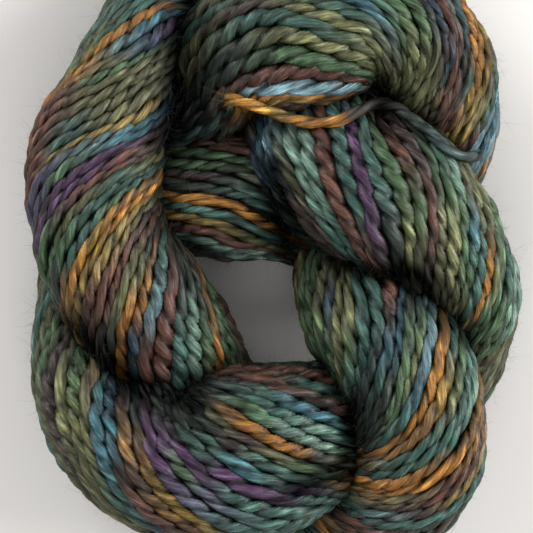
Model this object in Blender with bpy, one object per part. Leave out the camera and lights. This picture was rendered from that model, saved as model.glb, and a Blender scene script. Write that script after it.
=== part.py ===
"""A twisted hank of thick dyed embroidery thread, lying in a ring.

Units are metres, +Z is up, and the origin is the middle of the ring on the table.

One bundle of threads goes twice round the ring. Its two rounds are plied, so they cross five times,
and each visible fold dives under the next one. Near the top of the hole half of the bundle passes
under a neighbouring fold instead of over it: that is the short branch. A tie lies in the crease there,
with its cut end free.
"""

import math
from typing import NamedTuple

import bmesh
import bpy
import numpy as np
from mathutils import Matrix, Vector

MM = 0.001

# The thread and the bundle that it is wound into.
THREAD_WIDTH = 1.3 * MM
BUNDLE_HALF_HEIGHT = 5.2 * MM
RIDGES = 8  # groups of threads that stand out as the main twist of the bundle
RIDGE_DEPTH = 0.30 * MM
SIDES_PER_RIDGE = 4
RING_STEP = 2.9 * MM  # distance between the cross-sections of the loft
FLAT_DEPTH = 0.45 * MM  # how far the lowest threads are pressed flat on the table
TABLE_SIDE = 200.0 * MM
TABLE_THICKNESS = 20.0 * MM

# The tie.
TIE_SIDES_RESOLUTION = 2
TIE_POINT_STEP = 2.6 * MM


class Section(NamedTuple):
    """One cross-section of a bundle, in millimetres and degrees.

    x, y and z are its middle, half_width is measured across the bundle, and twist is how far the
    threads turn about the bundle in each millimetre of its length.
    """

    x: float
    y: float
    z: float
    half_width: float
    twist: float


# The round bundle, fold by fold, in the order in which the thread runs.
ROUTE = (
    # left fold, high over the lower left one
    Section(-8.2, 31.4, 5.6, 6.2, -5.0),
    Section(-13.2, 29.0, 7.8, 6.0, -5.0),
    Section(-16.2, 24.0, 10.9, 5.9, -6.5),
    Section(-18.7, 18.2, 13.0, 6.8, -8.5),
    Section(-20.7, 12.5, 13.9, 7.9, -10.0),
    Section(-21.2, 6.6, 14.2, 7.6, -11.0),
    Section(-19.8, 0.7, 14.2, 7.9, -10.0),
    Section(-16.3, -5.2, 13.2, 8.3, -7.6),
    Section(-12.6, -10.7, 11.3, 8.3, -5.0),
    Section(-9.0, -15.8, 7.4, 7.1, -5.0),
    # under the lower left fold
    Section(-5.1, -20.8, 5.2, 6.6, -9.0),
    Section(-1.0, -25.5, 5.0, 6.6, -9.5),
    Section(3.5, -29.1, 5.4, 6.6, -8.5),
    # lower right fold
    Section(8.4, -30.3, 7.1, 6.6, -8.5),
    Section(13.5, -28.4, 9.9, 7.1, -8.5),
    Section(16.7, -24.1, 12.3, 7.8, -8.5),
    Section(17.1, -18.4, 13.5, 7.8, -8.5),
    Section(14.9, -12.3, 13.0, 8.0, -7.0),
    Section(11.4, -6.6, 10.4, 8.0, -5.0),
    Section(9.6, -1.1, 6.6, 7.1, -5.0),
    # under the right fold
    Section(12.0, 4.0, 5.2, 6.6, -9.0),
    Section(15.9, 8.4, 5.4, 6.6, -9.5),
    # upper right fold, over the neck of the right one
    Section(18.9, 13.1, 7.3, 6.8, -8.5),
    Section(19.4, 19.4, 10.1, 7.1, -8.5),
    Section(17.3, 24.9, 12.3, 7.3, -8.5),
    Section(12.0, 27.8, 13.7, 7.8, -7.0),
    Section(5.3, 26.9, 14.2, 9.0, -4.0),
    Section(-1.3, 25.4, 13.5, 8.6, -1.5),
    Section(-5.7, 22.6, 11.4, 7.0, -1.0),
    Section(-8.3, 18.6, 8.2, 5.9, -3.0),
    # under the left fold
    Section(-11.2, 14.6, 5.5, 6.0, -9.0),
    Section(-15.6, 9.8, 5.1, 6.4, -11.0),
    Section(-19.7, 4.2, 5.1, 6.6, -11.0),
    # lower left fold
    Section(-21.2, -3.4, 5.7, 6.5, -7.6),
    Section(-21.3, -9.9, 7.3, 7.2, -5.0),
    Section(-20.6, -15.2, 9.4, 7.7, -4.0),
    Section(-17.9, -19.9, 11.6, 8.5, -5.0),
    Section(-12.8, -23.8, 13.2, 9.0, -6.0),
    Section(-7.1, -24.4, 14.2, 9.9, -7.0),
    Section(-1.6, -23.1, 14.2, 10.4, -7.0),
    Section(3.7, -21.1, 12.3, 9.0, -7.0),
    # under the lower right fold
    Section(9.3, -19.1, 7.3, 7.1, -7.6),
    Section(14.9, -17.2, 5.2, 6.6, -10.0),
    Section(19.7, -14.4, 5.6, 6.2, -9.5),
    # right fold
    Section(21.9, -9.9, 7.3, 5.8, -8.5),
    Section(22.8, -5.2, 9.4, 6.1, -7.6),
    Section(19.3, 1.5, 12.7, 7.8, -7.0),
    Section(14.1, 6.8, 14.2, 9.2, -6.0),
    Section(8.4, 10.5, 13.2, 9.4, -6.0),
    Section(4.1, 14.5, 9.4, 7.8, -5.0),
    # under the upper right fold and the left one
    Section(2.7, 19.4, 5.7, 6.6, -8.0),
    Section(0.8, 24.5, 5.1, 6.4, -9.0),
    Section(-2.8, 29.2, 5.1, 6.4, -8.0),
)

# The half of the bundle that runs low across the top of the hole.
BRANCH = (
    Section(-18.1, 8.3, 5.6, 6.6, -2.5),
    Section(-13.4, 8.1, 6.2, 7.6, -1.5),
    Section(-8.1, 8.0, 6.9, 7.9, -1.0),
    Section(-3.0, 7.3, 6.6, 8.1, -1.5),
    Section(1.9, 5.4, 5.6, 6.3, -2.5),
    Section(7.3, 3.0, 5.2, 5.2, -3.4),
)


class Contact(NamedTuple):
    """Where an upper fold presses on a lower one, in millimetres, and the reach of that contact."""

    x: float
    y: float
    z: float
    reach: float


CONTACTS = (
    Contact(-19.5, -4.5, 9.3, 3.0),  # left fold on the lower left one
    Contact(-3.0, -20.5, 9.6, 3.0),  # lower left fold on the foot of the left one
    Contact(12.0, -17.5, 9.0, 3.0),  # lower right fold on the foot of the lower left one
    Contact(12.0, 5.0, 9.6, 3.2),  # right fold on the foot of the lower right one
    Contact(8.8, 6.2, 8.3, 2.2),  # right fold on the end of the branch
    Contact(1.5, 23.5, 9.4, 3.0),  # upper right fold on the foot of the right one
    Contact(-7.0, 26.2, 8.2, 2.4),  # left fold on the foot of the right one
    Contact(-17.0, 12.8, 9.0, 1.8),  # left fold on the foot of the upper right one
    Contact(-3.1, 15.3, 7.0, 2.1),  # branch beside the foot of the upper right fold
)


class TiePoint(NamedTuple):
    """A point on the middle of the tie, in millimetres."""

    x: float
    y: float
    z: float


TIE_ROUTE = (
    # the cut end, then the crease below the upper right fold
    TiePoint(-5.6, 18.5, 15.9),
    TiePoint(-4.0, 18.2, 16.3),
    TiePoint(-2.1, 17.6, 16.1),
    TiePoint(0.0, 16.8, 15.7),
    TiePoint(2.7, 15.9, 15.9),
    TiePoint(5.4, 15.6, 16.8),
    TiePoint(7.8, 15.9, 17.4),
    TiePoint(9.6, 16.8, 17.4),
    TiePoint(11.3, 17.7, 16.8),
    # the dip between the folds, then the far edge of the right fold
    TiePoint(13.0, 17.9, 16.4),
    TiePoint(14.6, 17.3, 16.6),
    TiePoint(16.1, 16.2, 16.9),
    TiePoint(17.9, 14.8, 17.0),
    TiePoint(19.6, 13.3, 17.2),
    # down that edge, to where it goes in between the two folds
    TiePoint(21.1, 12.2, 16.7),
    TiePoint(22.3, 11.7, 15.6),
    TiePoint(23.1, 11.6, 14.2),
    TiePoint(23.6, 11.7, 12.8),
    TiePoint(23.9, 11.8, 11.3),
)


def clear_scene():
    """Removes what the scene starts with."""
    for item in list(bpy.data.objects):
        bpy.data.objects.remove(item, do_unlink=True)


def collection(name):
    """A new collection in the scene."""
    made = bpy.data.collections.new(name)
    bpy.context.scene.collection.children.link(made)
    return made


def thread_material(name, colour, roughness):
    """A plain thread finish."""
    made = bpy.data.materials.new(name)
    made.use_nodes = True
    shader = made.node_tree.nodes["Principled BSDF"]
    shader.inputs["Base Color"].default_value = (*colour, 1.0)
    shader.inputs["Roughness"].default_value = roughness
    shader.inputs["Metallic"].default_value = 0.0
    return made


def smooth_rows(rows, step, closed):
    """Rows about one step apart on the Catmull-Rom curve through the given ones.

    The first three columns are a place, whose distances set the curve's pace. The others are
    carried along with it.
    """
    points = np.array(rows, float)
    count = len(points)
    if closed:
        before, after = points[-1:], points[:2]
    else:
        before, after = 2 * points[:1] - points[1:2], 2 * points[-1:] - points[-2:-1]
    padded = np.vstack([before, points, after])
    made = []
    for first in range(count if closed else count - 1):
        p = padded[first : first + 4]
        gaps = np.sqrt(np.linalg.norm(np.diff(p[:, :3], axis=0), axis=1))
        t = np.concatenate([[0.0], np.cumsum(gaps)])
        span = np.linalg.norm(p[2, :3] - p[1, :3])
        for share in np.linspace(0.0, 1.0, max(2, round(span / step)), endpoint=False):
            at = t[1] + share * (t[2] - t[1])
            level = list(p)
            for reach in (1, 2):
                level = [
                    ((t[i + reach] - at) * level[i] + (at - t[i]) * level[i + 1]) / (t[i + reach] - t[i])
                    for i in range(len(level) - 1)
                ]
            made.append(((t[2] - at) * level[0] + (at - t[1]) * level[1]) / (t[2] - t[1]))
    if not closed:
        made.append(points[-1])
    return np.array(made)


def even_rows(rows, step, closed):
    """The smooth curve through the rows, cut into equal lengths of about one step, and its length."""
    fine = smooth_rows(rows, step / 8, closed)
    if closed:
        fine = np.vstack([fine, fine[:1]])
    along = np.concatenate([[0.0], np.cumsum(np.linalg.norm(np.diff(fine[:, :3], axis=0), axis=1))])
    pieces = round(along[-1] / step)
    marks = np.linspace(0.0, along[-1], pieces + 1)
    if closed:
        marks = marks[:-1]
    return np.column_stack([np.interp(marks, along, column) for column in fine.T]), along[-1]


def bundle_mesh(name, sections, closed):
    """A loft along the sections whose ridges follow the twist of the threads."""
    rows, length = even_rows(sections, RING_STEP / MM, closed)
    middle = rows[:, :3]
    if closed:
        heading = np.roll(middle, -1, axis=0) - np.roll(middle, 1, axis=0)
    else:
        heading = np.gradient(middle, axis=0)
    heading /= np.linalg.norm(heading, axis=1)[:, None]
    across = np.cross(heading, (0.0, 0.0, 1.0))
    across /= np.linalg.norm(across, axis=1)[:, None]
    upward = np.cross(across, heading)

    turned = np.cumsum(rows[:, 4]) * length / len(rows)
    if closed:
        turned *= 360 * round(turned[-1] / 360) / turned[-1]  # whole turns, so that the ends meet
    sides = RIDGES * SIDES_PER_RIDGE
    vertices, faces = [], []
    for ring in range(len(rows)):
        for side in range(sides):
            angle = 2 * math.pi * side / sides + math.radians(turned[ring])
            swell = 1 + RIDGE_DEPTH / BUNDLE_HALF_HEIGHT * math.cos(2 * math.pi * side / SIDES_PER_RIDGE)
            wide = rows[ring, 3] * swell * math.cos(angle)
            tall = BUNDLE_HALF_HEIGHT / MM * swell * math.sin(angle)
            vertices.append((middle[ring] + wide * across[ring] + tall * upward[ring]) * MM)
    for ring in range(len(rows) if closed else len(rows) - 1):
        here, there = ring * sides, (ring + 1) % len(rows) * sides
        for side in range(sides):
            beside = (side + 1) % sides
            faces.append((here + side, here + beside, there + beside, there + side))
    if not closed:
        faces.append(tuple(reversed(range(sides))))
        faces.append(tuple(range(len(vertices) - sides, len(vertices))))
    mesh = bpy.data.meshes.new(name)
    mesh.from_pydata(vertices, [], faces)
    return mesh


def placed(name, data, group, material=None):
    """A new object in the group, with its material."""
    made = bpy.data.objects.new(name, data)
    group.objects.link(made)
    if material is not None:
        data.materials.append(material)
    return made


def cutter(name, data, group):
    """A tool shape, which is no part of the hank itself."""
    made = placed(name, data, group)
    made.hide_render = True
    made.display_type = "WIRE"
    return made


def table_cutter(group):
    """A block whose top is the table, which presses the lowest threads flat."""
    bpy.ops.mesh.primitive_cube_add(size=1.0)
    block = bpy.context.object
    for owner in list(block.users_collection):
        owner.objects.unlink(block)
    group.objects.link(block)
    block.name = "table_cutter"
    block.scale = (TABLE_SIDE, TABLE_SIDE, TABLE_THICKNESS)
    block.location = (0.0, 0.0, -TABLE_THICKNESS / 2)
    block.hide_render = True
    block.display_type = "WIRE"
    return block


def contact_cutter(group):
    """Balls of thread that fill the small gaps between folds that press on each other."""
    shapes = bmesh.new()
    for contact in CONTACTS:
        place = Matrix.Translation(Vector(contact[:3]) * MM)
        bmesh.ops.create_icosphere(shapes, subdivisions=2, radius=contact.reach * MM, matrix=place)
    mesh = bpy.data.meshes.new("contact_tool")
    shapes.to_mesh(mesh)
    shapes.free()
    return cutter("contact_tool", mesh, group)


def add_boolean(target, name, operation, tool, use_self=False):
    """Joins the tool to the target or cuts it away."""
    modifier = target.modifiers.new(name, "BOOLEAN")
    modifier.operation = operation
    modifier.object = tool
    modifier.solver = "EXACT"
    modifier.use_self = use_self


def build_skein(parts, cutters):
    """The wound hank: the round bundle and its branch, joined, and pressed flat where they touch the table."""
    material = thread_material("dyed_thread", (0.060, 0.125, 0.110), 0.55)
    skein = placed("skein", bundle_mesh("skein", ROUTE, closed=True), parts, material)
    branch = cutter("branch_tool", bundle_mesh("branch_tool", BRANCH, closed=False), cutters)
    for item in (skein, branch):
        item.location.z = -FLAT_DEPTH
    add_boolean(skein, "join branch", "UNION", branch, use_self=True)
    add_boolean(skein, "press folds", "UNION", contact_cutter(cutters), use_self=True)
    add_boolean(skein, "press flat", "DIFFERENCE", table_cutter(cutters))
    return skein


def build_tie(parts):
    """The tie: one thread from its cut end, along the crease, to where it sinks between two folds."""
    rows, _ = even_rows(TIE_ROUTE, TIE_POINT_STEP / MM, closed=False)
    curve = bpy.data.curves.new("tie", "CURVE")
    curve.dimensions = "3D"
    curve.bevel_depth = THREAD_WIDTH / 2
    curve.bevel_resolution = TIE_SIDES_RESOLUTION
    curve.use_fill_caps = True
    spline = curve.splines.new("POLY")
    spline.points.add(len(rows) - 1)
    for point, row in zip(spline.points, rows):
        point.co = (*(row * MM), 1.0)
    material = thread_material("orange_thread", (0.45, 0.17, 0.02), 0.55)
    return placed("tie", curve, parts, material)


def main():
    clear_scene()
    parts = collection("skein_parts")
    cutters = collection("skein_cutters")
    build_skein(parts, cutters)
    build_tie(parts)


main()
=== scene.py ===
"""Looks of a twisted hank of thick, space-dyed embroidery thread that lies in a ring.

The hank is one bundle of two-ply threads that goes twice round the ring. Each thread runs the whole
way as a helix about the bundle's middle and closes on itself, so the folds, their crossings and the
slant of the threads all come from one route. Sizes are in millimetres until a mesh is placed.
"""

import logging
import math
from contextlib import contextmanager
from dataclasses import dataclass, field
from enum import Enum
from typing import Any, Iterable, Iterator, NamedTuple, Sequence

import bmesh
import bpy
import numpy as np
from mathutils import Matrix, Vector
from mathutils.bvhtree import BVHTree


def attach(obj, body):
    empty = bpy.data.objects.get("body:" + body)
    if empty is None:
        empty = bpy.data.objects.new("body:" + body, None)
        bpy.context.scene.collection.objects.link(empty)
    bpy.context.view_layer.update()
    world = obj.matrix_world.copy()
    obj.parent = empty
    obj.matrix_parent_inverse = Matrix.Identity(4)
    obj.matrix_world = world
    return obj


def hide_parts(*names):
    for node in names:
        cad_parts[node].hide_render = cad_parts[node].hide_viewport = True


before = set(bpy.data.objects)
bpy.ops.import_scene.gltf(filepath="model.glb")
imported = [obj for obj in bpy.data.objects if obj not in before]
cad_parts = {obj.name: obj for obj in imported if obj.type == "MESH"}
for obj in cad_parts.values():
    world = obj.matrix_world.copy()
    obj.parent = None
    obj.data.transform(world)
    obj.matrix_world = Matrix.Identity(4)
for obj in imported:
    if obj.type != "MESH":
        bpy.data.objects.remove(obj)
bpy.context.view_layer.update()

LOG = logging.getLogger("hank")
MM = 0.001

THREAD_WIDTH = 1.3  # across both plies of one thread
BUNDLE_HALF_HEIGHT = 5.2
FLAT_DEPTH = 0.45  # how far the bundle sinks as its lowest threads are pressed flat
ROUTE_STEP = 0.25  # fineness of the route that the threads are wound about
FINER = 4  # how much finer a curve is drawn before it is cut into equal lengths
PLY_PITCH = 6.8  # length in which the two plies turn once round each other
PLY_HAND = -1  # the plies wind the way of the middle stroke of the letter S
CREST_REACH = 1.2  # how far the crest of a ply stands out, for each millimetre of the thread's radius
WELD = 0.001  # corners of a fibre's tip closer together than this become one
WAVE_PARTS = 12  # plain waves that a random one is made of
SEED = 11


class Section(NamedTuple):
    """One cross-section of a bundle: its middle, half its width, and its twist in degrees a millimetre."""

    x: float
    y: float
    z: float
    half_width: float
    twist: float


ROUTE = (
    # left fold, high over the lower left one
    Section(-8.2, 31.4, 5.6, 6.2, -5.0),
    Section(-13.2, 29.0, 7.8, 6.0, -5.0),
    Section(-16.2, 24.0, 10.9, 5.9, -6.5),
    Section(-18.7, 18.2, 13.0, 6.8, -8.5),
    Section(-20.7, 12.5, 13.9, 7.9, -10.0),
    Section(-21.2, 6.6, 14.2, 7.6, -11.0),
    Section(-19.8, 0.7, 14.2, 7.9, -10.0),
    Section(-16.3, -5.2, 13.2, 8.3, -7.6),
    Section(-12.6, -10.7, 11.3, 8.3, -5.0),
    Section(-9.0, -15.8, 7.4, 7.1, -5.0),
    # under the lower left fold
    Section(-5.1, -20.8, 5.2, 6.6, -9.0),
    Section(-1.0, -25.5, 5.0, 6.6, -9.5),
    Section(3.5, -29.1, 5.4, 6.6, -8.5),
    # lower right fold
    Section(8.4, -30.3, 7.1, 6.6, -8.5),
    Section(13.5, -28.4, 9.9, 7.1, -8.5),
    Section(16.7, -24.1, 12.3, 7.8, -8.5),
    Section(17.1, -18.4, 13.5, 7.8, -8.5),
    Section(14.9, -12.3, 13.0, 8.0, -7.0),
    Section(11.4, -6.6, 10.4, 8.0, -5.0),
    Section(9.6, -1.1, 6.6, 7.1, -5.0),
    # under the right fold
    Section(12.0, 4.0, 5.2, 6.6, -9.0),
    Section(15.9, 8.4, 5.4, 6.6, -9.5),
    # upper right fold, over the neck of the right one
    Section(18.9, 13.1, 7.3, 6.8, -8.5),
    Section(19.4, 19.4, 10.1, 7.1, -8.5),
    Section(17.3, 24.9, 12.3, 7.3, -8.5),
    Section(12.0, 27.8, 13.7, 7.8, -7.0),
    Section(5.3, 26.9, 14.2, 9.0, -4.0),
    Section(-1.3, 25.4, 13.5, 8.6, -1.5),
    Section(-5.7, 22.6, 11.4, 7.0, -1.0),
    Section(-8.3, 18.6, 8.2, 5.9, -3.0),
    # under the left fold
    Section(-11.2, 14.6, 5.5, 6.0, -9.0),
    Section(-15.6, 9.8, 5.1, 6.4, -11.0),
    Section(-19.7, 4.2, 5.1, 6.6, -11.0),
    # lower left fold
    Section(-21.2, -3.4, 5.7, 6.5, -7.6),
    Section(-21.3, -9.9, 7.3, 7.2, -5.0),
    Section(-20.6, -15.2, 9.4, 7.7, -4.0),
    Section(-17.9, -19.9, 11.6, 8.5, -5.0),
    Section(-12.8, -23.8, 13.2, 9.0, -6.0),
    Section(-7.1, -24.4, 14.2, 9.9, -7.0),
    Section(-1.6, -23.1, 14.2, 10.4, -7.0),
    Section(3.7, -21.1, 12.3, 9.0, -7.0),
    # under the lower right fold
    Section(9.3, -19.1, 7.3, 7.1, -7.6),
    Section(14.9, -17.2, 5.2, 6.6, -10.0),
    Section(19.7, -14.4, 5.6, 6.2, -9.5),
    # right fold
    Section(21.9, -9.9, 7.3, 5.8, -8.5),
    Section(22.8, -5.2, 9.4, 6.1, -7.6),
    Section(19.3, 1.5, 12.7, 7.8, -7.0),
    Section(14.1, 6.8, 14.2, 9.2, -6.0),
    Section(8.4, 10.5, 13.2, 9.4, -6.0),
    Section(4.1, 14.5, 9.4, 7.8, -5.0),
    # under the upper right fold and the left one
    Section(2.7, 19.4, 5.7, 6.6, -8.0),
    Section(0.8, 24.5, 5.1, 6.4, -9.0),
    Section(-2.8, 29.2, 5.1, 6.4, -8.0),
)

# The half of the bundle that runs low across the top of the hole.
BRANCH = (
    Section(-18.1, 8.3, 5.6, 6.6, -2.5),
    Section(-13.4, 8.1, 6.2, 7.6, -1.5),
    Section(-8.1, 8.0, 6.9, 7.9, -1.0),
    Section(-3.0, 7.3, 6.6, 8.1, -1.5),
    Section(1.9, 5.4, 5.6, 6.3, -2.5),
    Section(7.3, 3.0, 5.2, 5.2, -3.4),
)

# The inner threads where three folds meet, a spot that neither of the longer routes fills.
NECK = (
    Section(9.3, 17.4, 8.0, 3.0, 0.0),
    Section(12.0, 19.7, 8.6, 3.2, 0.0),
    Section(14.6, 21.6, 8.0, 3.0, 0.0),
)


class TiePoint(NamedTuple):
    """A point on the middle of the tie."""

    x: float
    y: float
    z: float


TIE_ROUTE = (
    # the cut end, then the crease below the upper right fold
    TiePoint(-5.6, 18.5, 15.9),
    TiePoint(-4.0, 18.2, 16.3),
    TiePoint(-2.1, 17.6, 16.1),
    TiePoint(0.0, 16.8, 15.7),
    TiePoint(2.7, 15.9, 15.9),
    TiePoint(5.4, 15.6, 16.8),
    TiePoint(7.8, 15.9, 17.4),
    TiePoint(9.6, 16.8, 17.4),
    TiePoint(11.3, 17.7, 16.8),
    # the dip between the folds, then the far edge of the right fold
    TiePoint(13.0, 17.9, 16.4),
    TiePoint(14.6, 17.3, 16.6),
    TiePoint(16.1, 16.2, 16.9),
    TiePoint(17.9, 14.8, 17.0),
    TiePoint(19.6, 13.3, 17.2),
    # down that edge, to where it goes in between the two folds
    TiePoint(21.1, 12.2, 16.7),
    TiePoint(22.3, 11.7, 15.6),
    TiePoint(23.1, 11.6, 14.2),
    TiePoint(23.6, 11.7, 12.8),
    TiePoint(23.9, 11.8, 11.3),
)


class Crease(NamedTuple):
    """A crease between folds, seen from above, along which painted shade darkens the dye: its two ends,
    its reach and how much light it takes.

    Where the loss is negative, painted light brightens the dye instead: more light gets in than the
    depth of the place would let in.
    """

    x: float
    y: float
    far_x: float
    far_y: float
    reach: float
    loss: float


# painted shade along the creases between folds, and painted light where a loss is negative
CREASES = (
    # between the left fold and the upper right one
    Crease(-10.2, 29.6, -12.0, 14.9, 2.2, 0.75),
    Crease(-7.7, 26.1, -9.0, 17.6, 3.0, 0.65),
    Crease(-13.6, 14.9, -14.0, 2.5, 1.8, 0.5),
    # under the foot of the left fold
    Crease(-23.1, -8.1, -16.3, -15.2, 2.4, 0.9),
    Crease(-16.3, -15.2, -8.7, -17.6, 1.8, 0.85),
    Crease(-16.9, -9.3, -9.3, -16.0, 2.1, 0.35),
    Crease(-18.1, -16.4, -8.7, -19.9, 2.2, 0.35),
    # beside the neck of the right fold
    Crease(-0.2, 10.6, 1.7, 0.8, 1.9, 0.85),
    Crease(-0.6, 4.6, 3.9, 1.5, 1.3, 0.85),
    Crease(12.2, 21.0, 13.3, 15.1, 1.9, 0.85),
    Crease(14.3, 23.1, 23.2, 23.1, 3.0, 0.35),
    # under the foot of the right fold
    Crease(8.4, -0.5, 17.3, -2.2, 1.5, 0.75),
    Crease(15.5, -1.4, 23.0, -9.3, 2.2, 0.8),
    # between the lower two folds
    Crease(9.4, -17.0, 8.1, -24.7, 1.4, 0.85),
    Crease(8.1, -24.9, 1.4, -27.8, 1.5, 0.85),
    Crease(12.0, -11.1, 11.2, -21.7, 1.8, 0.5),
    # painted light where light gets in under the loose thread, along the low branch and over the hole
    Crease(-2.8, 18.6, 9.0, 18.0, 1.6, -1.2),
    Crease(0.2, 14.5, -2.0, 8.6, 1.3, -1.2),
    Crease(-12.8, 7.8, -8.7, 3.6, 2.4, -1.2),
    Crease(-7.4, 0.6, -2.0, 0.2, 1.6, -1.8),
    Crease(0.8, -9.4, 6.0, -9.0, 1.8, -1.1),
)


class Dye(Enum):
    """The dyes of the thread, each with the letter that the charts use and its sRGB hex value."""

    TEAL = ("T", "#37554c")
    MINT = ("M", "#647f71")
    DARK_GREEN = ("D", "#29322c")
    GREEN = ("G", "#40583c")
    KHAKI = ("K", "#525239")
    LIGHT_OLIVE = ("E", "#656845")
    YELLOW = ("Y", "#7c6a3e")
    OCHRE = ("W", "#735d27")
    ORANGE = ("O", "#946428")
    AMBER = ("A", "#6c4f2a")
    BROWN_RED = ("B", "#57392f")
    BROWN_GREY = ("N", "#362c28")
    PURPLE = ("P", "#46304a")
    LAVENDER = ("V", "#4d4a5c")
    TURQUOISE = ("C", "#395f69")
    DEEP_BLUE = ("U", "#273a48")
    GREY_TEAL = ("S", "#3f5352")
    LIGHT_STEEL = ("L", "#67838a")

    def __init__(self, letter: str, hex_value: str) -> None:
        """Keeps the letter and the colour apart."""
        self.letter = letter
        self.hex_value = hex_value


# The dyes that each thread shows as it crosses the top of the bundle, fold by fold, in the order in
# which the threads come up. One word is one crossing, and its letters are the dyes along it, evenly
# spaced from where the thread comes up to where it goes under. A crossing that hardly shows has a
# short word, as each fold's first and last ones do.
# The near-black letters D and N at the ends of a word are partly dark dye and partly painted shade, where the
# thread runs in under the next fold.
FOLD_DYES = {
    "left": """
        G T TBT STTTK STTTG KSOOW KCCSO KPUKA DDGGB DKKKB DKKKB DKKKTB DKKEDTB DYYYYYB UCCSSVV UCSGV NPPPN
        NBPPP NBBNG KTKKG DTTGD TGTTA AOWOA OOWYY WYYBN KYBBN NBBND BKEDD DKOOA BAOUUDD TSLBBNN NBBBNDD
        DDTTTDD DMMTD DGKGD AOOAK GGK GAO KAA B K D T B
    """,
    "lower_right": """
        T G D T O OT TBN NBD TTSTT TTSNY TKNBB KAKBA KAOOA OOOTM DTTTT ATTKG DAAWT AOOOA DTCLT DGEGU DGGDD
        DDCUD DTCNBDD DSTTD DTTTDDD TGEEGGD KEEKKDD GDUKDDK GKKGG GGGKG GGKKK EAWAK A KL
    """,
    "upper_right": """
        TL C TTTLL KKBBT KKWYK KKWYW DDBWO DDBTO DDBDS DKBBS DEUBB DENUV DEDDG DEGGG EEGGG KGTTD KCTKD
        KTKTD EENKD ETTKD EEDDD GGDDD BBNDD LLDSD OODDD YKDDD ADDDD D T N G K T B G K
    """,
    "lower_left": """
        K T T K GGKGT GGKGK GGNNN KKKEK GGGEK KAKET DDTCCTU DDUCNBN DDNANAB DTDAWWK DNPPVST DDPGVST
        DDPPTTT DDTPPPT DDTCTPD DDNTTDA DKNKGDA DAOODKD DGMMGD DTTMTTD NTCCTDD BNNBND BTTBND BBBND DTND D
        T G K
    """,
    "right": """
        K AAK AAK GKK DDKGM DDKGM DDGGT DDGGG DDGEG DDOOK DDTTE DKGCK DKGGM DKEGT DKKGD DNBNN DKGBN DEGGN
        DDTTT NPPPL BTTTL BBBBL TMMML TMMTL NKSLL NULLL DLLLL UCLLL UWWWW A D G B K T
    """,
}
FIRST_CHARTED_CROSSING = 5
BRANCH_DYES = "D T K D DM M B WK T O DT NT GN G B B D K T G D B T K D N G D T K B D T G"


def linear(hex_value: str) -> tuple[float, float, float]:
    """Turns an sRGB hex colour to linear light.

    Args:
        hex_value: The colour as "#rrggbb".

    Returns:
        Red, green and blue from 0 to 1.
    """
    parts = [int(hex_value[at : at + 2], 16) / 255 for at in (1, 3, 5)]
    return tuple(p / 12.92 if p <= 0.04045 else ((p + 0.055) / 1.055) ** 2.4 for p in parts)


DYE_BY_LETTER = {dye.letter: np.array(linear(dye.hex_value)) for dye in Dye}


def dye_marks(word: str) -> tuple[np.ndarray, np.ndarray]:
    """Reads a word of a dye chart.

    Args:
        word: One or more dye letters.

    Returns:
        Where along the crossing each letter stands, from 0 to 1, and its linear colour.
    """
    return (np.arange(len(word)) + 0.5) / len(word), np.array([DYE_BY_LETTER[letter] for letter in word])


def add_node(
    tree: bpy.types.NodeTree,
    kind: str,
    settings: dict[str, Any] | None = None,
    inputs: dict[Any, Any] | None = None,
) -> bpy.types.Node:
    """Adds a node with its settings and links.

    Args:
        tree: The node tree that gets it.
        kind: The node's type.
        settings: The node's own properties, by name.
        inputs: What goes into its sockets: an output socket is linked, and anything else is a value.

    Returns:
        The new node.
    """
    node = tree.nodes.new(kind)
    for name, value in (settings or {}).items():
        setattr(node, name, value)
    for name, value in (inputs or {}).items():
        if isinstance(value, bpy.types.NodeSocket):
            tree.links.new(value, node.inputs[name])
        else:
            node.inputs[name].default_value = value
    return node


def new_material(
    name: str,
    roughness: float,
) -> tuple[bpy.types.Material, bpy.types.NodeTree, bpy.types.Node]:
    """Starts a material.

    Args:
        name: What the real material is.
        roughness: How rough its surface is, from 0 to 1.

    Returns:
        The material, its node tree and its shader.
    """
    made = bpy.data.materials.new(name)
    made.use_nodes = True
    shader = made.node_tree.nodes["Principled BSDF"]
    shader.inputs["Roughness"].default_value = roughness
    return made, made.node_tree, shader


def placed(name: str, data: bpy.types.ID) -> bpy.types.Object:
    """A new object in the scene, at the origin."""
    made = bpy.data.objects.new(name, data)
    bpy.context.scene.collection.objects.link(made)
    return made


@contextmanager
def edited(mesh: bpy.types.Mesh) -> Iterator[bmesh.types.BMesh]:
    """Opens a mesh for bmesh operators, and writes the result back to it."""
    shape = bmesh.new()
    shape.from_mesh(mesh)
    yield shape
    shape.to_mesh(mesh)
    shape.free()


def read_off(at: np.ndarray, marks: Sequence[float], rows: np.ndarray) -> np.ndarray:
    """Finds rows in between given ones.

    Args:
        at: Where the new rows stand.
        marks: Where the given rows stand, rising.
        rows: The given rows.

    Returns:
        A row for each place.
    """
    return np.column_stack([np.interp(at, marks, column) for column in rows.T])


def cut_evenly(rows: np.ndarray, step: float, closed: bool) -> tuple[np.ndarray, float]:
    """Cuts a line into equal lengths.

    Args:
        rows: Rows whose first three columns are a place. The others are carried along.
        step: The distance between the new rows, about.
        closed: True if the last row leads back to the first.

    Returns:
        The new rows, and the line's length.
    """
    if closed:
        rows = np.vstack([rows, rows[:1]])
    along = lengths_along(rows[:, :3])
    marks = np.linspace(0.0, along[-1], round(along[-1] / step) + 1)
    if closed:
        marks = marks[:-1]
    return read_off(marks, along, rows), along[-1]


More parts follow.
